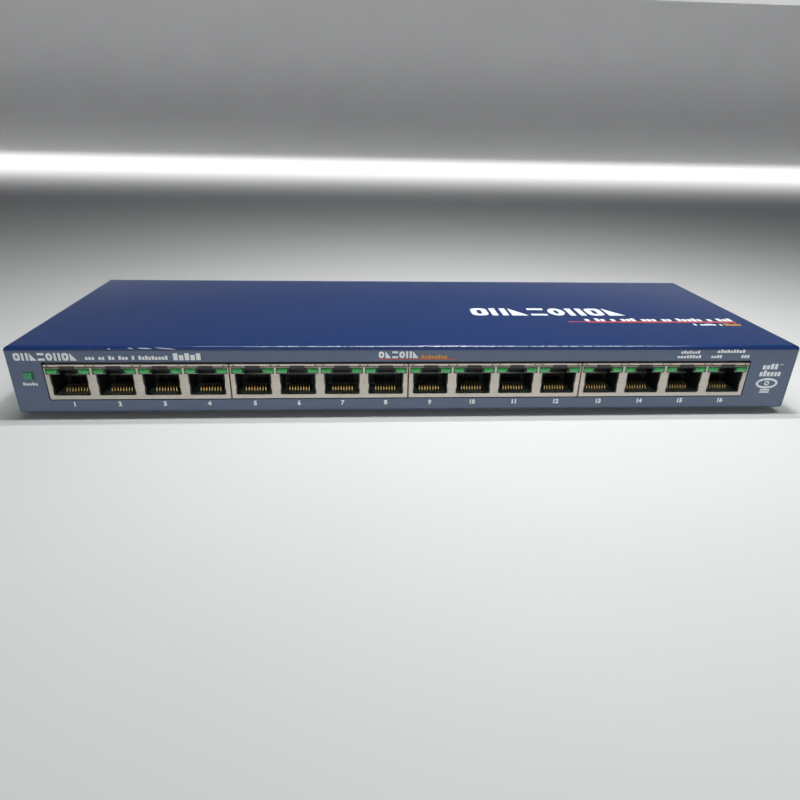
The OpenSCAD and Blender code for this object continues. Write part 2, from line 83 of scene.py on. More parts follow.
# Jacks: LOW and HIGH are heights, and HALF_W, IN and OUT are distances from the middle of a port
SHIELD_SHEET = 0.25
OPENING_HALF_W = 6.44
OPENING_LOW = 8.65
OPENING_HIGH = 16.65
LED_WINDOW_HALF_W = 7.58
LED_WINDOW_HIGH = 18.95
LED_IN = 3.5
LED_OUT = 7.32
NOTCH_HALF_W = 2.65
NOTCH_HIGH = 19.8
FOLD_LOW = 19.1
FOLD_HIGH = 19.6
CAVITY_HALF_W = 5.95
WIRE_COUNT = 8
WIRE_PITCH = 1.02
WIRE_WIDTH = 0.44
WIRE_THICKNESS = 0.28
INK_T = 0.02
# Ink starts this far under the paint, so that no gap or shared face is left between them
INK_SINK = 0.01
# Plain shapes that stand in for the marks: the two long rows, and the short one over the middle
GLYPHS = ("frame", "bars", "wedge", "lines", "ring", "bars", "frame", "wedge")
SCRIPT_GLYPHS = ("ring", "wedge", "lines", "ring", "bars", "wedge")


# ---- node trees ----


class Shader:
    """A material's node tree, with short calls for the nodes used here."""

    def __init__(self, name):
        self.material = bpy.data.materials.new(name)
        self.material.use_nodes = True
        self.tree = self.material.node_tree
        self.bsdf = self.tree.nodes["Principled BSDF"]
        self.place = self.add("ShaderNodeTexCoord").outputs["Object"]

    def add(self, kind, **settings):
        """A new node with its settings."""
        node = self.tree.nodes.new(kind)
        for key, value in settings.items():
            setattr(node, key, value)
        return node

    def link(self, source, target):
        self.tree.links.new(source, target)

    def set(self, **values):
        """Sets number and colour sockets of the main shader, by name with _ for a space."""
        for key, value in values.items():
            self.bsdf.inputs[key.replace("_", " ")].default_value = value

    def stretched(self, scale):
        """Object coordinates multiplied along each axis."""
        mapping = self.add("ShaderNodeMapping")
        mapping.inputs["Scale"].default_value = scale
        self.link(self.place, mapping.inputs["Vector"])
        return mapping.outputs["Vector"]

    def noise(self, scale, detail, rough=0.5, vector=None):
        node = self.add("ShaderNodeTexNoise")
        node.inputs["Scale"].default_value = scale
        node.inputs["Detail"].default_value = detail
        node.inputs["Roughness"].default_value = rough
        self.link(vector or self.place, node.inputs["Vector"])
        return node.outputs["Fac"]

    def cells(self, scale, vector=None):
        node = self.add("ShaderNodeTexVoronoi")
        node.inputs["Scale"].default_value = scale
        self.link(vector or self.place, node.inputs["Vector"])
        return node.outputs["Distance"]

    def ramp(self, source, stops):
        """Colours by value, each stop a place and a colour."""
        node = self.add("ShaderNodeValToRGB")
        elements = node.color_ramp.elements
        while len(elements) < len(stops):
            elements.new(0.5)
        for element, (at, colour) in zip(elements, stops):
            element.position = at
            element.color = (*colour, 1)
        self.link(source, node.inputs["Fac"])
        return node.outputs["Color"]

    def span(self, source, low, high, to_low=0.0, to_high=1.0):
        """Values from low to high made into to_low to to_high, and held beyond them."""
        node = self.add("ShaderNodeMapRange")
        node.inputs["From Min"].default_value = low
        node.inputs["From Max"].default_value = high
        node.inputs["To Min"].default_value = to_low
        node.inputs["To Max"].default_value = to_high
        self.link(source, node.inputs["Value"])
        return node.outputs["Result"]

    def math(self, kind, a, b):
        """Arithmetic on two values, each a number or a socket."""
        node = self.add("ShaderNodeMath", operation=kind)
        for socket, value in zip(node.inputs, (a, b)):
            if isinstance(value, (int, float)):
                socket.default_value = value
            else:
                self.link(value, socket)
        return node.outputs["Value"]

    def mix(self, factor, a, b):
        """Colour a where the factor is 0, and colour b where it is 1."""
        node = self.add("ShaderNodeMix", data_type="RGBA")
        slots = [node.inputs[0], node.inputs[6], node.inputs[7]]
        for socket, value in zip(slots, (factor, a, b)):
            if isinstance(value, (int, float)):
                socket.default_value = value
            elif isinstance(value, tuple):
                socket.default_value = (*value, 1)
            else:
                self.link(value, socket)
        return node.outputs[2]

    def axis(self, name):
        node = self.add("ShaderNodeSeparateXYZ")
        self.link(self.place, node.inputs["Vector"])
        return node.outputs[name]

    def along(self, axis, start, end):
        """Nought at the start and one at the end, two places along an axis in millimetres."""
        return self.span(self.axis(axis), start * MM, end * MM)

    def colour(self, source):
        self.link(source, self.bsdf.inputs["Base Color"])

    def roughness(self, source):
        self.link(source, self.bsdf.inputs["Roughness"])

    def bump(self, height, strength, distance):
        node = self.add("ShaderNodeBump")
        node.inputs["Strength"].default_value = strength
        node.inputs["Distance"].default_value = distance
        self.link(height, node.inputs["Height"])
        self.link(node.outputs["Normal"], self.bsdf.inputs["Normal"])


def scaled(colour, factor):
    """A colour made lighter or darker."""
    return tuple(min(1.0, c * factor) for c in colour)


# ---- materials ----

COVER_BLUE = (0.011, 0.036, 0.150)
FRONT_GREY = (0.117, 0.157, 0.248)
BARE_METAL = (0.62, 0.64, 0.68)
# Scrapes on the cover's front roll: middle, half length, height and slope
SCRAPES = (
    (-107.6, 0.5, 26.1, 0.0), (-100.2, 1.0, 26.25, -0.2), (-95.4, 2.6, 26.2, -0.07),
    (-88.2, 3.6, 26.15, -0.09),
)
# The painted highlight along the roll, a dotted pale line for the lamp's reflection: its height, and
# where it starts and ends
HIGHLIGHT_LINE_Z = 26.72
HIGHLIGHT_LINE_X = (-44, 60)
# Zones of the jack housings by height, where painted light and shade go: for each limit, where a tone
# starts to show and where it is full
LIT_FLOOR_ZONE = ((8.9, 8.75), (8.5, 8.6))
SHADED_RECESS_ZONE = ((18.62, 18.5), (17.75, 17.9))
LIT_LATCH_ZONE = (18.5, 18.62)


def paint(name, colour, edge_wear_and_highlight=None):
    """Satin powder coat: orange peel, faint mottling, few specks and scratches, and one edge with wear
    and a painted highlight.
    """
    s = Shader(name)
    mottle = s.noise(90, 4)
    base = s.ramp(mottle, [(0.3, scaled(colour, 0.985)), (0.7, scaled(colour, 1.015))])
    specks = s.span(s.cells(230), 0.055, 0.03)
    sparse = s.span(s.noise(60, 2), 0.60, 0.64)
    dust = s.math("MULTIPLY", specks, sparse)
    base = s.mix(s.math("MULTIPLY", dust, 0.14), base, scaled(BARE_METAL, 0.9))
    scratch_grain = s.noise(210, 2, vector=s.stretched((0.09, 1.9, 1)))
    scratch_places = s.span(s.noise(18, 1), 0.52, 0.6)
    scratches = s.math("MULTIPLY", s.span(scratch_grain, 0.735, 0.75), scratch_places)
    base = s.mix(s.math("MULTIPLY", scratches, 0.12), base, scaled(colour, 3.2))
    if edge_wear_and_highlight:
        # Bare metal where the paint is worn, and along the painted highlight line
        base = s.mix(edge_wear_and_highlight(s), base, BARE_METAL)
    s.colour(base)
    s.roughness(s.span(s.noise(420, 3), 0.3, 0.7, 0.255, 0.27))
    s.set(Coat_Weight=0.4, Coat_Roughness=0.1, Specular_IOR_Level=0.25)
    s.bump(s.noise(2600, 2), 0.006, 0.00004)
    return s.material


def rubbed_line(s, x, z):
    """A painted highlight: a dotted pale line along the cover's front roll for the lamp's reflection,
    which fades out at both ends.
    """
    off = s.math("ABSOLUTE", s.math("SUBTRACT", z, HIGHLIGHT_LINE_Z * MM), 0)
    line = s.span(off, 0.13 * MM, 0.04 * MM)
    left = s.span(x, (HIGHLIGHT_LINE_X[0] - 20) * MM, HIGHLIGHT_LINE_X[0] * MM)
    right = s.span(x, (HIGHLIGHT_LINE_X[1] + 45) * MM, HIGHLIGHT_LINE_X[1] * MM)
    dots = s.span(s.noise(700, 3, 0.6), 0.36, 0.56, 0.0, 0.75)
    return s.math("MULTIPLY", s.math("MULTIPLY", line, dots), s.math("MULTIPLY", left, right))


def scrape(s, x, z, wander, centre, half, level, slope):
    """One scrape: a thin lens along a sloping line, with its outline wandering a little."""
    from_centre = s.math("SUBTRACT", x, centre * MM)
    reach = s.math("DIVIDE", from_centre, half * MM)
    lens = s.math("SUBTRACT", 1.0, s.math("MULTIPLY", reach, reach))
    thick = s.math("MULTIPLY", lens, 0.16 * MM)
    line = s.math("ADD", s.math("MULTIPLY", from_centre, slope), level * MM)
    off = s.math("ABSOLUTE", s.math("ADD", s.math("SUBTRACT", z, line), wander), 0)
    return s.span(s.math("SUBTRACT", off, thick), 0.05 * MM, -0.03 * MM)


def chipped_edge(s):
    """Scrapes and finer nicks along the cover's front roll, and a dotted pale line of painted
    highlight.
    """
    x, z = s.axis("X"), s.axis("Z")
    near = s.along("Y", FRONT + 1.6, FRONT + 1.2)
    wander = s.math("MULTIPLY", s.math("SUBTRACT", s.noise(260, 3), 0.5), 0.5 * MM)
    nicks = s.math("MULTIPLY", s.span(s.noise(1300, 4, 0.6), 0.70, 0.73), 0.35)
    # The nicks and scrapes are wear; the dotted line is a painted highlight for the lamp's reflection
    wear_and_highlight = s.math("MAXIMUM", nicks, rubbed_line(s, x, z))
    for place in SCRAPES:
        wear_and_highlight = s.math("MAXIMUM", wear_and_highlight, scrape(s, x, z, wander, *place))
    return s.math("MULTIPLY", wear_and_highlight, near)


def tinplate(name, painted_brightness=1.0):
    """Warm, dull tinplate with a rolled grain and faint handling marks; its brightness factor makes
    lighter or darker copies, which are painted light.
    """
    s = Shader(name)
    grain = s.noise(520, 4, vector=s.stretched((0.25, 1, 2.2)))
    stains = s.noise(140, 3)
    light, dark, stain = (0.66, 0.62, 0.55), (0.55, 0.51, 0.45), (0.49, 0.44, 0.37)
    base = s.ramp(grain, [(0.25, scaled(dark, painted_brightness)), (0.75, scaled(light, painted_brightness))])
    base = s.mix(s.span(stains, 0.45, 0.75, 0, 0.4), base, scaled(stain, painted_brightness))
    s.colour(base)
    s.roughness(s.span(grain, 0.3, 0.7, 0.38, 0.52))
    s.set(Metallic=0.75)
    s.bump(grain, 0.15, 0.00003)
    return s.material


def seam_dark():
    """Brown shadow tone of the tin's folded gaps."""
    s = Shader("seam_gap")
    s.colour(s.ramp(s.noise(700, 3), [(0.3, (0.10, 0.055, 0.038)), (0.7, (0.19, 0.105, 0.075))]))
    s.set(Roughness=0.7)
    return s.material


def moulded(name, colour, gloss, grain=1800):
    """Moulded plastic, or ceramic: slight mottling and a fine pebbled surface."""
    s = Shader(name)
    spots = s.noise(grain, 3)
    s.colour(s.ramp(s.noise(160, 3), [(0.3, scaled(colour, 0.8)), (0.7, scaled(colour, 1.25))]))
    s.roughness(s.span(spots, 0.3, 0.7, gloss - 0.07, gloss + 0.09))
    s.bump(spots, 0.2, 0.00003)
    return s.material


def worn_gold():
    """Gold plate, bright up to the bend and painted near-black brown beyond it: painted shade for the
    deep part of the port that light does not reach.
    """
    s = Shader("contact_gold")
    root = node_box("contacts_01")[0].z
    film = s.noise(900, 3)
    bright = s.ramp(film, [(0.3, (1.0, 0.66, 0.20)), (0.7, (1.0, 0.80, 0.36))])
    # Painted shade: dark brown above the bend, full gold below it
    s.colour(s.mix(s.along("Z", root + 2.2, root + 1.3), (0.022, 0.013, 0.006), bright))
    s.roughness(s.span(film, 0.3, 0.7, 0.30, 0.42))
    s.set(Metallic=0.8)
    return s.material


def jack_black():
    """Near-black moulding with painted light and shade: paler at the top for the lit edge over the
    latch, a blacker painted-shade band below, and pale green-grey painted light on the floors near the
    front.
    """
    s = Shader("jack_plastic")
    lit_floor_zone = s.math("MULTIPLY", *[s.along("Z", *limit) for limit in LIT_FLOOR_ZONE])
    shaded_recess_zone = s.math("MULTIPLY", *[s.along("Z", *limit) for limit in SHADED_RECESS_ZONE])
    base = s.ramp(s.noise(160, 3), [(0.3, (0.005, 0.006, 0.006)), (0.7, (0.008, 0.010, 0.010))])
    base = s.mix(shaded_recess_zone, base, (0.002, 0.002, 0.002))
    base = s.mix(s.along("Z", *LIT_LATCH_ZONE), base, (0.030, 0.026, 0.029))
    lit_floor_patches = s.ramp(s.noise(420, 3), [(0.38, (0.09, 0.13, 0.105)), (0.62, (0.30, 0.40, 0.33))])
    s.colour(s.mix(lit_floor_zone, base, lit_floor_patches))
    s.roughness(s.span(s.noise(1800, 3), 0.3, 0.7, 0.42, 0.58))
    return s.material


def plated(name, colour, rough, metallic=1.0):
    """Plated or bare metal with a slightly uneven film."""
    s = Shader(name)
    film = s.noise(900, 3)
    s.colour(s.ramp(film, [(0.3, scaled(colour, 0.82)), (0.7, scaled(colour, 1.1))]))
    s.roughness(s.span(film, 0.3, 0.7, rough - 0.06, rough + 0.1))
    s.set(Metallic=metallic)
    s.bump(film, 0.1, 0.00001)
    return s.material


def indicator_green():
    """Unlit green lens with painted shade: darker under its upper edge, lighter towards the lower one.
    """
    s = Shader("indicator")
    low, high = node_box("port_leds_1")
    level = s.along("Z", low.z, high.z)
    unevenness = s.math("MULTIPLY", s.math("SUBTRACT", s.noise(900, 3), 0.5), 0.6)
    # The darkening towards the upper edge is painted shade from the shield above
    s.colour(s.ramp(s.math("ADD", level, unevenness), [
        (0.0, (0.18, 0.58, 0.27)), (0.16, (0.06, 0.52, 0.15)), (0.5, (0.018, 0.40, 0.065)),
        (0.85, (0.002, 0.16, 0.022)),
    ]))
    s.roughness(s.span(s.noise(600, 2), 0.3, 0.7, 0.2, 0.34))
    s.set(Subsurface_Weight=0.1, Coat_Weight=0.1)
    s.bsdf.inputs["Subsurface Radius"].default_value = (0.0004, 0.0012, 0.0006)
    return s.material


def pipe_green():
    """Hazy green elbow, with painted shade darkening its right side and its upper edge."""
    s = Shader("light_pipe")
    high = node_box("power_light_pipe")[1]
    haze = s.noise(700, 3)
    base = s.ramp(haze, [(0.3, (0.035, 0.32, 0.13)), (0.7, (0.06, 0.42, 0.19))])
    # Painted shade along the right side and the upper edge
    right = s.along("X", high.x - 1.1, high.x - 0.8)
    upper = s.along("Z", high.z - 0.55, high.z - 0.3)
    s.colour(s.mix(s.math("MAXIMUM", right, upper), base, (0.008, 0.075, 0.035)))
    s.roughness(s.span(haze, 0.3, 0.7, 0.25, 0.4))
    s.set(Subsurface_Weight=0.2, Coat_Weight=0.3)
    return s.material


def ink(name, colour):
    """Screen-printed ink with slight pinholes and an uneven film."""
    s = Shader(name)
    film = s.noise(1500, 4, 0.6)
    s.colour(s.ramp(film, [(0.28, scaled(colour, 0.85)), (0.62, colour)]))
    s.roughness(s.span(film, 0.3, 0.7, 0.45, 0.6))
    s.bump(film, 0.15, 0.00001)
    return s.material


def solder_mask():
    """Green circuit board: woven glass under the mask, and paler tracks."""
    s = Shader("board_laminate")
    weave = s.noise(1400, 2, vector=s.stretched((1, 0.2, 1)))
    tracks = s.cells(160, vector=s.stretched((1, 0.35, 1)))
    base = s.ramp(weave, [(0.3, (0.006, 0.060, 0.028)), (0.7, (0.012, 0.095, 0.045))])
    s.colour(s.mix(s.span(tracks, 0.30, 0.27), base, (0.02, 0.15, 0.07)))
    s.roughness(s.span(weave, 0.3, 0.7, 0.26, 0.36))
    s.bump(weave, 0.15, 0.00002)
    return s.material


def rubber(name, colour):
    """Dull rubber or soft filler with small pores."""
    s = Shader(name)
    pores = s.noise(1300, 4, 0.6)
    s.colour(s.ramp(pores, [(0.3, scaled(colour, 0.7)), (0.7, scaled(colour, 1.5))]))
    s.roughness(s.span(pores, 0.3, 0.7, 0.75, 0.92))
    s.bump(pores, 0.4, 0.00005)
    return s.material


def floor_finish():
    """Matt pale floor, faintly cloudy."""
    s = Shader("floor_finish")
    cloud = s.noise(6, 3)
    s.colour(s.ramp(cloud, [(0.3, (0.74, 0.74, 0.74)), (0.7, (0.77, 0.77, 0.77))]))
    s.set(Roughness=0.75)
    s.bump(s.noise(400, 3), 0.05, 0.0002)
    return s.material


MATERIALS = {
    "cover_paint": paint("cover_paint", COVER_BLUE, chipped_edge),
    "tray_paint": paint("tray_paint", FRONT_GREY),
    "black_steel": plated("black_steel", (0.05, 0.05, 0.055), 0.4),
    "foot_rubber": rubber("foot_rubber", (0.02, 0.02, 0.021)),
    "post_steel": plated("post_steel", (0.55, 0.5, 0.38), 0.35),
    "bright_steel": plated("bright_steel", (0.62, 0.62, 0.63), 0.28),
    "film": moulded("film", (0.02, 0.02, 0.022), 0.4),
    "board_laminate": solder_mask(),
    "indicator": indicator_green(),
    "light_pipe": pipe_green(),
    "chip_plastic": moulded("chip_plastic", (0.016, 0.016, 0.017), 0.6),
    "thermal_pad": rubber("thermal_pad", (0.26, 0.26, 0.31)),
    "sink_aluminium": plated("sink_aluminium", (0.60, 0.61, 0.62), 0.42),
    "ferrite": moulded("ferrite", (0.05, 0.05, 0.055), 0.6, 900),
    "capacitor_sleeve": moulded("capacitor_sleeve", (0.02, 0.03, 0.09), 0.3),
    "chip_ceramic": moulded("chip_ceramic", (0.42, 0.31, 0.19), 0.45),
    "inlet_plastic": moulded("inlet_plastic", (0.015, 0.015, 0.017), 0.45),
    "contact_nickel": plated("contact_nickel", (0.66, 0.70, 0.65), 0.34, 0.5),
    "shield_tin": tinplate("shield_tin"),
    "jack_plastic": jack_black(),
    "contact_gold": worn_gold(),
}
# Brown painted shadow for the gaps in the shields' folds and between the shields
GAP_SHADOW = seam_dark()
# The shield's tin made 10% lighter for the lips over the ports: painted light, for how brightly they
# catch the light
PAINTED_LIGHT_LIP_TIN = tinplate("lip_tin_painted_light", 1.1)
GUIDE_PLASTIC = moulded("guide_plastic", (0.10, 0.11, 0.10), 0.3)
LEDGE_PLASTIC = moulded("ledge_plastic", (0.30, 0.36, 0.30), 0.4)
WHITE_INK = ink("white_ink", (0.92, 0.96, 0.97))
ORANGE_INK = ink("orange_ink", (0.66, 0.31, 0.04))
RED_INK = ink("red_ink", (0.62, 0.08, 0.055))


# Two faces that meet at a larger angle than this get a crisp edge between them, in degrees
CRISP_CAD = 32
CRISP_MADE = 40
# Points closer than this are one point, in metres
WELD = 1e-7


def dress_cad_nodes():
    """Gives every CAD node its slot's material, smooth curves and crisp edges."""
    slots = {s["node"]: s["material_slot"] for s in frame["record"]["subparts"]}
    for name, obj in NODES.items():
        obj.data.materials.clear()
        obj.data.materials.append(MATERIALS[slots[name]])
        obj.data.shade_smooth()
        obj.data.set_sharp_from_angle(angle=math.radians(CRISP_CAD))
        weights = obj.modifiers.new("weights", "WEIGHTED_NORMAL")
        weights.keep_sharp = True


# ---- mesh helpers ----


def to_object(name, mesh, material, body=CASE):
    """Puts a mesh into the scene as a piece that rides on a body."""
    obj = bpy.data.objects.new(name, mesh)
    bpy.context.scene.collection.objects.link(obj)
    mesh.materials.clear()
    mesh.materials.append(material)
    mesh.shade_smooth()
    mesh.set_sharp_from_angle(angle=math.radians(CRISP_MADE))
    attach(obj, body)
    return obj


def join_meshes(name, meshes):
    """One mesh from several, all in the same coordinates."""
    work = bmesh.new()
    for mesh in meshes:
        work.from_mesh(mesh)
        bpy.data.meshes.remove(mesh)
    joined = bpy.data.meshes.new(name)
    work.to_mesh(joined)
    work.free()
    return joined


def clean(mesh):
    """Welds doubled points, drops faces of no area and turns all faces outwards."""
    work = bmesh.new()
    work.from_mesh(mesh)
    bmesh.ops.remove_doubles(work, verts=work.verts, dist=WELD)
    bmesh.ops.dissolve_degenerate(work, edges=work.edges, dist=WELD)
    bmesh.ops.recalc_face_normals(work, faces=work.faces)
    work.to_mesh(mesh)
    work.free()
    return mesh


def curve_mesh(curve, place):
    """Turns curve data into a mesh and moves it to its place."""
    holder = bpy.data.objects.new("holder", curve)
    bpy.context.scene.collection.objects.link(holder)
    bpy.context.view_layer.update()
    evaluated = holder.evaluated_get(bpy.context.evaluated_depsgraph_get())
    mesh = bpy.data.meshes.new_from_object(evaluated)
    bpy.data.objects.remove(holder)
    mesh.transform(place)
    return clean(mesh)


# Turns what is drawn flat in X and Y to stand up and face -Y
UPRIGHT = Matrix.Rotation(math.pi / 2, 4, "X")


def plate(loops, near, far, bevel=0.0):
    """A plate that faces -Y: outlines in (x, z) with the outer one first, from depth near to far."""
    curve = bpy.data.curves.new("plate", "CURVE")
    curve.dimensions = "2D"
    curve.fill_mode = "BOTH"
    curve.extrude = ((far - near) / 2 - bevel) * MM
    curve.bevel_depth = bevel * MM
    curve.bevel_resolution = 1
    curve.offset = -bevel * MM
    for loop in loops:
        spline = curve.splines.new("POLY")
        spline.points.add(len(loop) - 1)
        for point, (x, z) in zip(spline.points, loop):
            point.co = (x * MM, z * MM, 0, 1)
        spline.use_cyclic_u = True
    return curve_mesh(curve, Matrix.Translation((0, (near + far) / 2 * MM, 0)) @ UPRIGHT)


def slab(loops, low, high):
    """A plate that faces up: outlines in (x, y), from height low to high."""
    mesh = plate(loops, -high, -low)
    mesh.transform(UPRIGHT.inverted())
    return mesh


def rounded(x0, z0, x1, z1, r=0.0):
    """Outline of a rectangle, with round corners of radius r if it is given."""
    if not r:
        return [(x0, z0), (x1, z0), (x1, z1), (x0, z1)]
    steps = 4
    points = []
    centres = [(x1 - r, z0 + r), (x1 - r, z1 - r), (x0 + r, z1 - r), (x0 + r, z0 + r)]
    for (cx, cz), start in zip(centres, (-90, 0, 90, 180)):
        for i in range(steps + 1):
            a = math.radians(start + 90 * i / steps)
            points.append((cx + r * math.cos(a), cz + r * math.sin(a)))
    return points


def brick(low, high, bevel=0.0):
    """A box between two corners, with rounded edges if a bevel is given."""
    work = bmesh.new()
    size = [h - l for l, h in zip(low, high)]
    middle = [(h + l) / 2 for l, h in zip(low, high)]
    place = Matrix.Translation(Vector(middle) * MM) @ Matrix.Diagonal((*[s * MM for s in size], 1))
    bmesh.ops.create_cube(work, size=1, matrix=place)
    if bevel:
        bmesh.ops.bevel(work, geom=work.edges[:], offset=bevel * MM, segments=2, affect="EDGES",
                        profile=0.5)
    mesh = bpy.data.meshes.new("brick")
    work.to_mesh(mesh)
    work.free()
    return mesh


def loft(sections):
    """A closed solid through sections with the same number of points, in millimetres."""
    work = bmesh.new()
    rings = [[work.verts.new(Vector(point) * MM) for point in section] for section in sections]
    for a, b in zip(rings, rings[1:]):
        for i in range(len(a)):
            j = (i + 1) % len(a)
            work.faces.new((a[i], a[j], b[j], b[i]))
    work.faces.new(rings[0])
    work.faces.new(reversed(rings[-1]))
    bmesh.ops.recalc_face_normals(work, faces=work.faces)
    mesh = bpy.data.meshes.new("loft")
    work.to_mesh(mesh)
    work.free()
    return mesh


def strip_along(path, x, width, thickness, round_off):
    """A flat wire of round-edged section that follows points in (y, z) at one x."""
    half, side = width / 2, thickness / 2
    outline = [(half - round_off, side), (half, side - round_off), (half, -side + round_off),
               (half - round_off, -side)]
    outline += [(-u, v) for u, v in reversed(outline)]
    sections = []
    for i, (y, z) in enumerate(path):
        before = Vector(path[max(i - 1, 0)])
        after = Vector(path[min(i + 1, len(path) - 1)])
        along = (after - before).normalized()
        sections.append([(x + u, y - v * along.y, z + v * along.x) for u, v in outline])
    return loft(sections)


# ---- jacks ----


def port_edge(cx):
    """Edge of one port's opening, from its right end at the fold round to its left end."""
    swell_in, swell_top, swell_height, steps = 0.22, 13.6, 3.6, 8
    notch_slant, corner = 0.12, 0.3
    right = [
        (NOTCH_HALF_W, FOLD_LOW), (NOTCH_HALF_W + notch_slant, LED_WINDOW_HIGH),
        (LED_WINDOW_HALF_W, LED_WINDOW_HIGH), (LED_WINDOW_HALF_W, OPENING_HIGH),
        (OPENING_HALF_W, OPENING_HIGH),
    ]
    for t in range(steps + 1):
        x = OPENING_HALF_W - swell_in * math.sin(math.pi * t / steps) ** 2
        right.append((x, swell_top - swell_height * t / steps))
    right += [(OPENING_HALF_W, OPENING_LOW + corner), (OPENING_HALF_W - corner, OPENING_LOW)]
    return [(cx + x, z) for x, z in right + [(-x, z) for x, z in reversed(right)]]


def shield_face(low, high, centres):
    """Front of a shield below the fold: webs with arms over the indicators, and a bar below."""
    points = [(low.x, FOLD_LOW), (low.x, low.z), (high.x, low.z), (high.x, FOLD_LOW)]
    for cx in reversed(centres):
        points += port_edge(cx)
    return points


def shield_lip(low, high, centres):
    """The lip above the fold, slit on each side of every web: parts over the webs and the ports."""
    slit_half_w, slit_at, notch_slant = 0.23, 6.55, 0.12
    edges = [low.x]
    over_ports = []
    for cx in centres:
        left, right = cx - slit_at + slit_half_w, cx + slit_at - slit_half_w
        edges += [left - 2 * slit_half_w, right + 2 * slit_half_w]
        over_ports.append([
            (left, FOLD_HIGH), (left, high.z), (right, high.z), (right, FOLD_HIGH),
            (cx + NOTCH_HALF_W, FOLD_HIGH), (cx + NOTCH_HALF_W - notch_slant, NOTCH_HIGH),
            (cx - NOTCH_HALF_W + notch_slant, NOTCH_HIGH), (cx - NOTCH_HALF_W, FOLD_HIGH),
        ])
    edges.append(high.x)
    webs = zip(edges[::2], edges[1::2])
    over_webs = [rounded(left, FOLD_HIGH, right, high.z) for left, right in webs]
    return over_webs, over_ports


def shield_box(low, high, edge_low, edge_high):
    """The top, both sides and the rear of a shield, as thin sheets behind its front."""
    back = low.y + SHIELD_SHEET
    under_top = high.z - SHIELD_SHEET
    sheets = [brick((edge_low.x, back, under_top), (edge_high.x, high.y, high.z), 0.05)]
    for x0 in (edge_low.x, edge_high.x - SHIELD_SHEET):
        sheets.append(brick((x0, back, low.z), (x0 + SHIELD_SHEET, high.y, under_top), 0.05))
    rear_low = (low.x + 0.3, high.y - SHIELD_SHEET, low.z)
    sheets.append(brick(rear_low, (high.x - 0.3, high.y, high.z - 0.3), 0.05))
    return sheets


def fold_strips(edge_low, edge_high, centres):
    """Dark strips of painted shadow behind the fold, between the notches of the ports."""
    near, far = edge_low.y + 0.16, edge_low.y + SHIELD_SHEET + 0.03
    past_notch = NOTCH_HALF_W + 0.05
    ends = [edge_low.x + 0.1] + [cx + side * past_notch for cx in centres for side in (-1, 1)]
    ends.append(edge_high.x - 0.1)
    shadow_strips = []
    for left, right in zip(ends[::2], ends[1::2]):
        shadow_strips.append(brick((left, near, FOLD_LOW - 0.1), (right, far, FOLD_HIGH + 0.1)))
    return shadow_strips


def jack_shield(gang):
    """The folded tinplate box over one gang, with a dark strip of painted shadow behind the fold in its
    front.
    """
    low, high = node_box(f"jack_shield_{gang}")
    centres = [port_x(port) for port in ports_of(gang)]
    inset, edge_round = 0.14, 0.04
    edge_low = Vector((low.x + inset, low.y, low.z))
    edge_high = Vector((high.x - inset, high.y, high.z))
    back = low.y + SHIELD_SHEET
    over_webs, over_ports = shield_lip(edge_low, edge_high, centres)
    outlines = [shield_face(edge_low, edge_high, centres)] + over_webs
    meshes = [plate([outline], low.y, back, edge_round) for outline in outlines]
    meshes += shield_box(low, high, edge_low, edge_high)
    tin = MATERIALS["shield_tin"]
    shield = to_object(f"shield_{gang}", join_meshes("shield", meshes), tin)
    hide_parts(f"jack_shield_{gang}")
    # The lips over the ports take the lighter copy of the tin, which is painted light
    lips = [plate([outline], low.y + 0.03, back, edge_round) for outline in over_ports]
    to_object(f"shield_lips_{gang}", join_meshes("lips", lips), PAINTED_LIGHT_LIP_TIN)
    # Dark painted-shadow strips in the fold
    shadow_strips = fold_strips(edge_low, edge_high, centres)
    to_object(f"shield_fold_{gang}", join_meshes("fold", shadow_strips), GAP_SHADOW)
    grounding_fingers(gang, centres)


def grounding_fingers(gang, centres):
    """Leaf springs lanced from the shield's sides, which bow into each opening to touch a plug."""
    z0, z1 = 11.0, 13.4
    start, length, bow_in, thickness, steps = 0.3, 5.2, 0.42, 0.12, 8
    path = []
    for t in range(steps + 1):
        path.append((FRONT + start + length * t / steps, bow_in * math.sin(math.pi * t / steps)))
    meshes = []
    for cx in centres:
        for side in (-1, 1):
            sections = []
            for y, bow in path:
                x = cx + side * (OPENING_HALF_W - 0.02 - bow)
                x_out = x + side * thickness
                sections.append([(x, y, z0), (x, y, z1), (x_out, y, z1), (x_out, y, z0)])
            meshes.append(loft(sections))
    fingers = join_meshes("fingers", meshes)
    to_object(f"shield_fingers_{gang}", fingers, MATERIALS["shield_tin"])


def contact_set(port):
    """Eight gold arms: each rises steeply to its bend, then leans back up to its tip."""
    low, high = node_box(f"contacts_{port:02d}")
    # The wire's middle line, as points in (y, z)
    root = Vector((low.y + 0.2, low.z + 0.1))
    bend = root + Vector((0.38, 1.05))
    knee = bend + Vector((0.26, 0.55))
    tip = Vector((high.y - 0.2, high.z - 0.2))
    steps = 12
    path = [root]
    for step in range(steps + 1):
        t = (step / steps) ** 1.6
        path.append((1 - t) ** 2 * bend + 2 * t * (1 - t) * knee + t ** 2 * tip)
    meshes = []
    for w in range(WIRE_COUNT):
        x = port_x(port) + (w - (WIRE_COUNT - 1) / 2) * WIRE_PITCH
        meshes.append(strip_along(path, x, WIRE_WIDTH, WIRE_THICKNESS, 0.08))
    mesh = join_meshes("arms", meshes)
    gold = MATERIALS["contact_gold"]
    body = f"contact_set_{port:02d}"
    arms = to_object(f"contact_arms_{port:02d}", mesh, gold, body)
    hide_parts(f"contacts_{port:02d}")


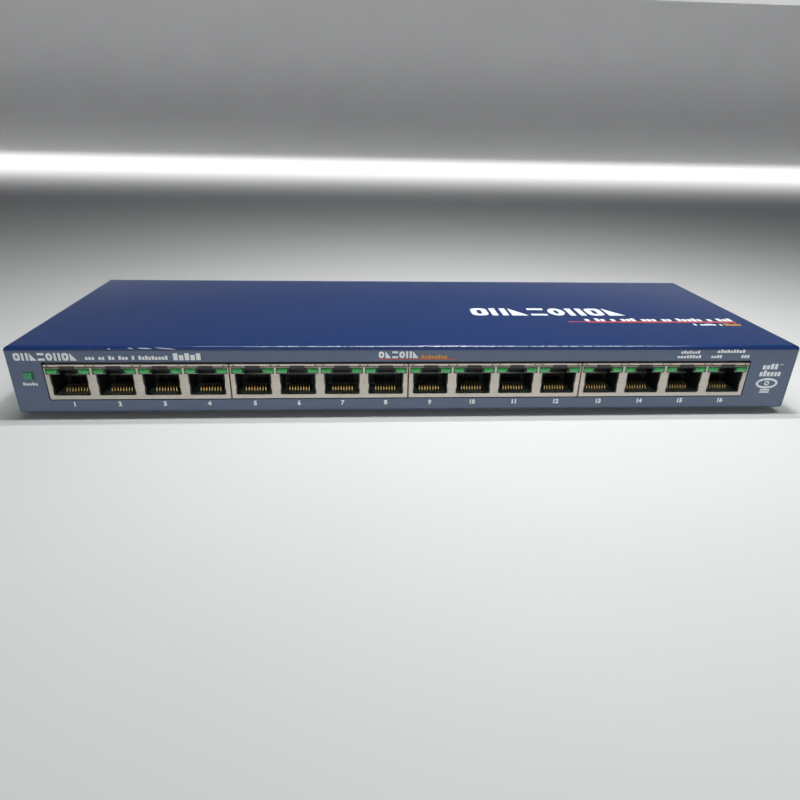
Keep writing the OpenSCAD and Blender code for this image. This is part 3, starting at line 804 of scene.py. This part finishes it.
def port_indicators(gang):
    """Two lens bars a port, each with its inner side sloping in at its foot and a ledge below it."""
    low, high = node_box(f"port_leds_{gang}")
    meshes, ledges = [], []
    for port in ports_of(gang):
        for side in (-1, 1):
            inner, outer = port_x(port) + side * LED_IN, port_x(port) + side * LED_OUT
            left, right = sorted((inner - side * 0.6, outer - side * 0.45))
            ledges.append(brick((left, low.y, low.z - 0.3), (right, low.y + 0.2, low.z - 0.07), 0.04))
            outline = [
                (outer, low.z), (outer, high.z), (inner, high.z),
                (inner + side * 0.1, low.z + 0.8), (inner + side * 0.4, low.z),
            ]
            meshes.append(plate([outline], low.y, high.y, 0.08))
    lens_mesh = join_meshes("lenses", meshes)
    lenses = to_object(f"indicator_lenses_{gang}", lens_mesh, MATERIALS["indicator"])
    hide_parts(f"port_leds_{gang}")
    to_object(f"indicator_ledges_{gang}", join_meshes("ledges", ledges), LEDGE_PLASTIC)


def wire_guides():
    """A bar across the back of each port, over the tips of its contacts."""
    guide_front, guide_depth = FRONT + 9.9, 0.75
    guide_low, guide_high = 12.5, 13.35
    half_w = CAVITY_HALF_W - 0.05
    for gang in GANGS:
        meshes = []
        for port in ports_of(gang):
            low = (port_x(port) - half_w, guide_front, guide_low)
            high = (port_x(port) + half_w, guide_front + guide_depth, guide_high)
            meshes.append(brick(low, high, 0.15))
        to_object(f"wire_guides_{gang}", join_meshes("guides", meshes), GUIDE_PLASTIC)


def gang_seams():
    """Brown strips of painted shadow in the gaps between neighbouring shields."""
    meshes = []
    for gang in GANGS[:-1]:
        low, high = node_box(f"jack_shield_{gang}")
        next_low = node_box(f"jack_shield_{gang + 1}")[0]
        seam_low = (high.x - 0.1, low.y + 0.3, low.z)
        seam_high = (next_low.x + 0.1, low.y + 0.8, high.z - 0.1)
        meshes.append(brick(seam_low, seam_high))
    to_object("gang_seams", join_meshes("seams", meshes), GAP_SHADOW)


def make_jacks():
    """Everything in and around the sixteen ports."""
    for gang in GANGS:
        jack_shield(gang)
        port_indicators(gang)
    for port in PORTS:
        contact_set(port)
    wire_guides()
    gang_seams()


# ---- printing ----

# Places for plain blocks on the front: left, right, lower and upper edge, and number of letters
FRONT_WORDS = (
    (-116.3, -86.7, 22.1, 23.55, 26), (-86.1, -76.2, 21.9, 24.5, 5), (-139.4, -134.2, 12.6, 13.75, 5),
    (97.8, 105.2, 24.0, 25.2, 7), (96.8, 106.0, 22.25, 23.45, 8), (111.7, 122.5, 24.3, 25.5, 9),
    (109.7, 114.0, 22.25, 23.45, 4), (121.3, 124.6, 22.25, 23.45, 3), (130.9, 137.1, 17.75, 19.95, 4),
    (137.5, 138.8, 19.5, 19.85, 2), (130.4, 138.9, 14.95, 17.3, 6),
)
FRONT_ORANGE_WORD = (1.5, 11.1, 22.3, 23.75, 8)
# Rows of plain shapes on the front: the shapes, left and right end, lower edge and height
FRONT_ROWS = ((GLYPHS, -140.4, -118.6, 21.85, 2.8), (SCRIPT_GLYPHS, -13.9, 0.9, 22.5, 2.6))
# The red line on the front: one corner and the other
FRONT_RED_LINE = (-14.1, 21.95, 14.1, 22.3)
# The plain sign at the right: middle, then half width, half height and stroke of its oval and ring
SIGN_MIDDLE = (134.25, 12.1)
SIGN_OVAL = (4.3, 2.15, 0.9)
SIGN_RING = (1.0, 1.0, 0.55)
# Two bars under the sign: their ends, their lower edges and their height
SIGN_BAR_ENDS = (132.3, 136.1)
SIGN_BAR_LOWS = (8.2, 9.1)
SIGN_BAR_HEIGHT = 0.6
NUMERAL_Z = 5.2
NUMERAL_HEIGHT = 1.65
# The same on the cover, with Y in place of height
TOP_ROW = (GLYPHS, 26.8, 93.5, -11.3, 11.0)
TOP_WORDS = ((72.3, 135.4, -19.6, -15.6, 29), (114.2, 127.6, -25.6, -23.2, 10))
TOP_ORANGE_WORD = (128.5, 135.5, -25.8, -22.9, 6)
TOP_RED_LINES = ((64.4, -20.9, 72.4, -20.1), (72.5, -21.5, 135.4, -19.9))


def mark(name, meshes, material):
    """One piece of printing, on the tray's or the cover's paint."""
    to_object(name, join_meshes(name, meshes), material)


def front_ink(loops):
    """Ink on the front wall, from outlines in (x, z)."""
    return plate(loops, FRONT - INK_T, FRONT + INK_SINK)


def top_ink(loops):
    """Ink on the cover's top, from outlines in (x, y)."""
    return slab(loops, TOP_Z - INK_SINK, TOP_Z + INK_T)


def filler_words(x0, x1, z0, z1, letters, rng):
    """Outlines of plain blocks that stand in for a line of print: no letters, only their rhythm."""
    block_share, short_by, gap_chance, tall_chance, longest_word = 0.78, 0.25, 0.14, 0.35, 8
    pitch = (x1 - x0) / letters
    height = z1 - z0
    loops = []
    for i in range(letters):
        if letters > longest_word and rng.random() < gap_chance:
            continue
        left = x0 + i * pitch
        right = left + pitch * block_share
        top = z1 if rng.random() < tall_chance else z1 - height * short_by
        loops.append([(left, z0), (right, z0), (right, top), (left, top)])
    return loops


def oval(cx, cz, half_w, half_h, stroke, steps=40):
    """Outlines of an oval ring."""
    loops = []
    for inset in (0, stroke):
        angles = [2 * math.pi * i / steps for i in range(steps)]
        loops.append([
            (cx + (half_w - inset) * math.cos(a), cz + (half_h - inset) * math.sin(a)) for a in angles
        ])
    return loops


def numeral(text, x, z, height):
    """A port's number, in Blender's own plain font, thickened a little."""
    size_per_height, thicken = 1.42, 0.13
    curve = bpy.data.curves.new("numeral", "FONT")
    curve.body = text
    curve.size = height * size_per_height * MM
    curve.align_x = "CENTER"
    curve.align_y = "CENTER"
    curve.extrude = INK_T / 2 * MM
    curve.offset = thicken * MM
    curve.resolution_u = 4
    place = Matrix.Translation((x * MM, (FRONT - INK_T / 2 + 0.005) * MM, z * MM)) @ UPRIGHT
    return curve_mesh(curve, place)


def glyph(kind, x0, z0, width, height):
    """Outlines of one plain shape from a small set, for the places where a mark was printed."""
    x1, z1 = x0 + width, z0 + height
    stroke_share = 0.36
    stroke = min(height * stroke_share, width * stroke_share)
    cx, cz = (x0 + x1) / 2, (z0 + z1) / 2
    if kind == "frame":
        inner = rounded(x0 + stroke, z0 + stroke, x1 - stroke, z1 - stroke, stroke / 3)
        return [rounded(x0, z0, x1, z1, stroke), inner]
    if kind == "ring":
        return oval(cx, cz, width / 2, height / 2, stroke)
    if kind == "bars":
        return [rounded(x, z0, x + stroke, z1) for x in (x0, x1 - stroke)]
    if kind == "wedge":
        return [[(x0, z0), (x1, z0), (x0, z1)]]
    return [rounded(x0, z, x1, z + stroke) for z in (z0, z1 - stroke)]


def glyph_row(kinds, x0, x1, z0, height):
    """A row of plain shapes, evenly spaced from x0 to x1."""
    shape_share = 0.84
    step = (x1 - x0) / len(kinds)
    loops = []
    for i, kind in enumerate(kinds):
        loops += glyph(kind, x0 + i * step, z0, step * shape_share, height)
    return loops


def print_front():
    """Printing on the front wall: plain shapes and blocks in place of words, and the port numbers."""
    rng = random.Random(5)
    white = [front_ink(filler_words(*place, rng)) for place in FRONT_WORDS]
    white += [front_ink(glyph_row(*row)) for row in FRONT_ROWS]
    white.append(front_ink(oval(*SIGN_MIDDLE, *SIGN_OVAL)))
    white.append(front_ink(oval(*SIGN_MIDDLE, *SIGN_RING, 28)))
    left, right = SIGN_BAR_ENDS
    for z in SIGN_BAR_LOWS:
        white.append(front_ink([rounded(left, z, right, z + SIGN_BAR_HEIGHT)]))
    for port in PORTS:
        white.append(numeral(str(port), port_x(port), NUMERAL_Z, NUMERAL_HEIGHT))
    mark("front_print_white", white, WHITE_INK)
    mark("front_print_orange", [front_ink(filler_words(*FRONT_ORANGE_WORD, rng))], ORANGE_INK)
    mark("front_print_red", [front_ink([rounded(*FRONT_RED_LINE)])], RED_INK)


def print_top():
    """Printing on the cover, near its right end."""
    rng = random.Random(9)
    white = [top_ink(glyph_row(*TOP_ROW))]
    white += [top_ink(filler_words(*place, rng)) for place in TOP_WORDS]
    mark("top_print_white", white, WHITE_INK)
    mark("top_print_red", [top_ink([rounded(*line)]) for line in TOP_RED_LINES], RED_INK)
    mark("top_print_orange", [top_ink(filler_words(*TOP_ORANGE_WORD, rng))], ORANGE_INK)


# ---- studio ----


def studio_sweep():
    """Pale floor that curves up far behind the object. Sizes in metres."""
    half, near, back, radius, top, steps = 4.0, -4.0, 2.4, 0.35, 0.52, 8
    profile = [(near, 0.0), (back - radius, 0.0)]
    for i in range(1, steps + 1):
        a = math.radians(90 * i / steps)
        profile.append((back - radius + radius * math.sin(a), radius - radius * math.cos(a)))
    profile.append((back, top))
    vertices = [(x, y, z) for y, z in profile for x in (-half, half)]
    faces = [(2 * i, 2 * i + 1, 2 * i + 3, 2 * i + 2) for i in range(len(profile) - 1)]
    mesh = bpy.data.meshes.new("floor")
    mesh.from_pydata(vertices, [], faces)
    mesh.shade_smooth()
    mesh.materials.append(floor_finish())
    obj = bpy.data.objects.new("floor", mesh)
    bpy.context.scene.collection.objects.link(obj)


def softbox(name, place, aim, size, power, colour=(1, 1, 1)):
    """A rectangular light turned towards its aim, with its size in metres and its power in watts."""
    light = bpy.data.lights.new(name, "AREA")
    light.shape = "RECTANGLE"
    light.size, light.size_y = size
    light.energy = power
    light.color = colour
    obj = bpy.data.objects.new(name, light)
    bpy.context.scene.collection.objects.link(obj)
    obj.location = place
    obj.rotation_euler = (Vector(aim) - Vector(place)).to_track_quat("-Z", "Y").to_euler()
    return obj


def studio_world():
    """Dim room above a pale horizon."""
    world = bpy.data.worlds.new("studio")
    world.use_nodes = True
    tree = world.node_tree
    direction = tree.nodes.new("ShaderNodeTexCoord")
    split = tree.nodes.new("ShaderNodeSeparateXYZ")
    ramp = tree.nodes.new("ShaderNodeValToRGB")
    horizon, room = ramp.color_ramp.elements
    horizon.position = 0.195
    horizon.color = (0.60, 0.61, 0.62, 1)
    room.position = 0.23
    room.color = (0.05, 0.055, 0.06, 1)
    tree.links.new(direction.outputs["Generated"], split.inputs["Vector"])
    tree.links.new(split.outputs["Z"], ramp.inputs["Fac"])
    tree.links.new(ramp.outputs["Color"], tree.nodes["Background"].inputs["Color"])
    bpy.context.scene.world = world


def studio_lights():
    """Two tubes close overhead, a fill in front, and a light on the backdrop, clear of the object."""
    tube_height, tube_thickness = 0.36, 0.015
    tubes = (
        ("front_tube", 0.056, -0.028, 0.447, 1.18, (0.93, 1, 0.95)),
        ("rear_tube", 0.057, 0.028, 0.06, 0.62, (1, 0.94, 0.98)),
    )
    for name, x, y, length, power, colour in tubes:
        softbox(name, (x, y, tube_height), (x, y, 0), (length, tube_thickness), power, colour)
    fill_colour = (1, 0.98, 0.95)
    softbox("front_fill", (-0.03, -0.85, 0.21), (0, -0.05, 0.01), (0.9, 0.16), 0.88, fill_colour)
    backdrop = softbox("backdrop", (0, 1.25, 0.9), (0, 1.45, 0), (4.6, 0.5), 20.0)
    backdrop.data.spread = math.radians(80)


def camera():
    """The viewing point was worked out for this frame: just left of centre, above and in front."""
    place = (-0.020425, -0.262468, 0.097666)
    yaw_angle, pitch_angle, roll_angle = -4.022, -26.605, -1.24
    data = bpy.data.cameras.new("camera")
    data.sensor_width = 36
    data.lens = 27.84
    data.shift_y = 0.0432
    data.clip_start = 0.01
    obj = bpy.data.objects.new("camera", data)
    bpy.context.scene.collection.objects.link(obj)
    yaw = Matrix.Rotation(math.radians(yaw_angle), 4, "Z")
    pitch = Matrix.Rotation(math.radians(pitch_angle), 4, "X")
    roll = Matrix.Rotation(math.radians(roll_angle), 4, "Y")
    obj.matrix_world = Matrix.Translation(place) @ yaw @ pitch @ roll @ UPRIGHT
    bpy.context.scene.camera = obj


# ---- the whole ----

dress_cad_nodes()
make_jacks()
print_front()
print_top()
studio_sweep()
studio_world()
studio_lights()
camera()
bpy.context.scene.view_settings.view_transform = "Standard"
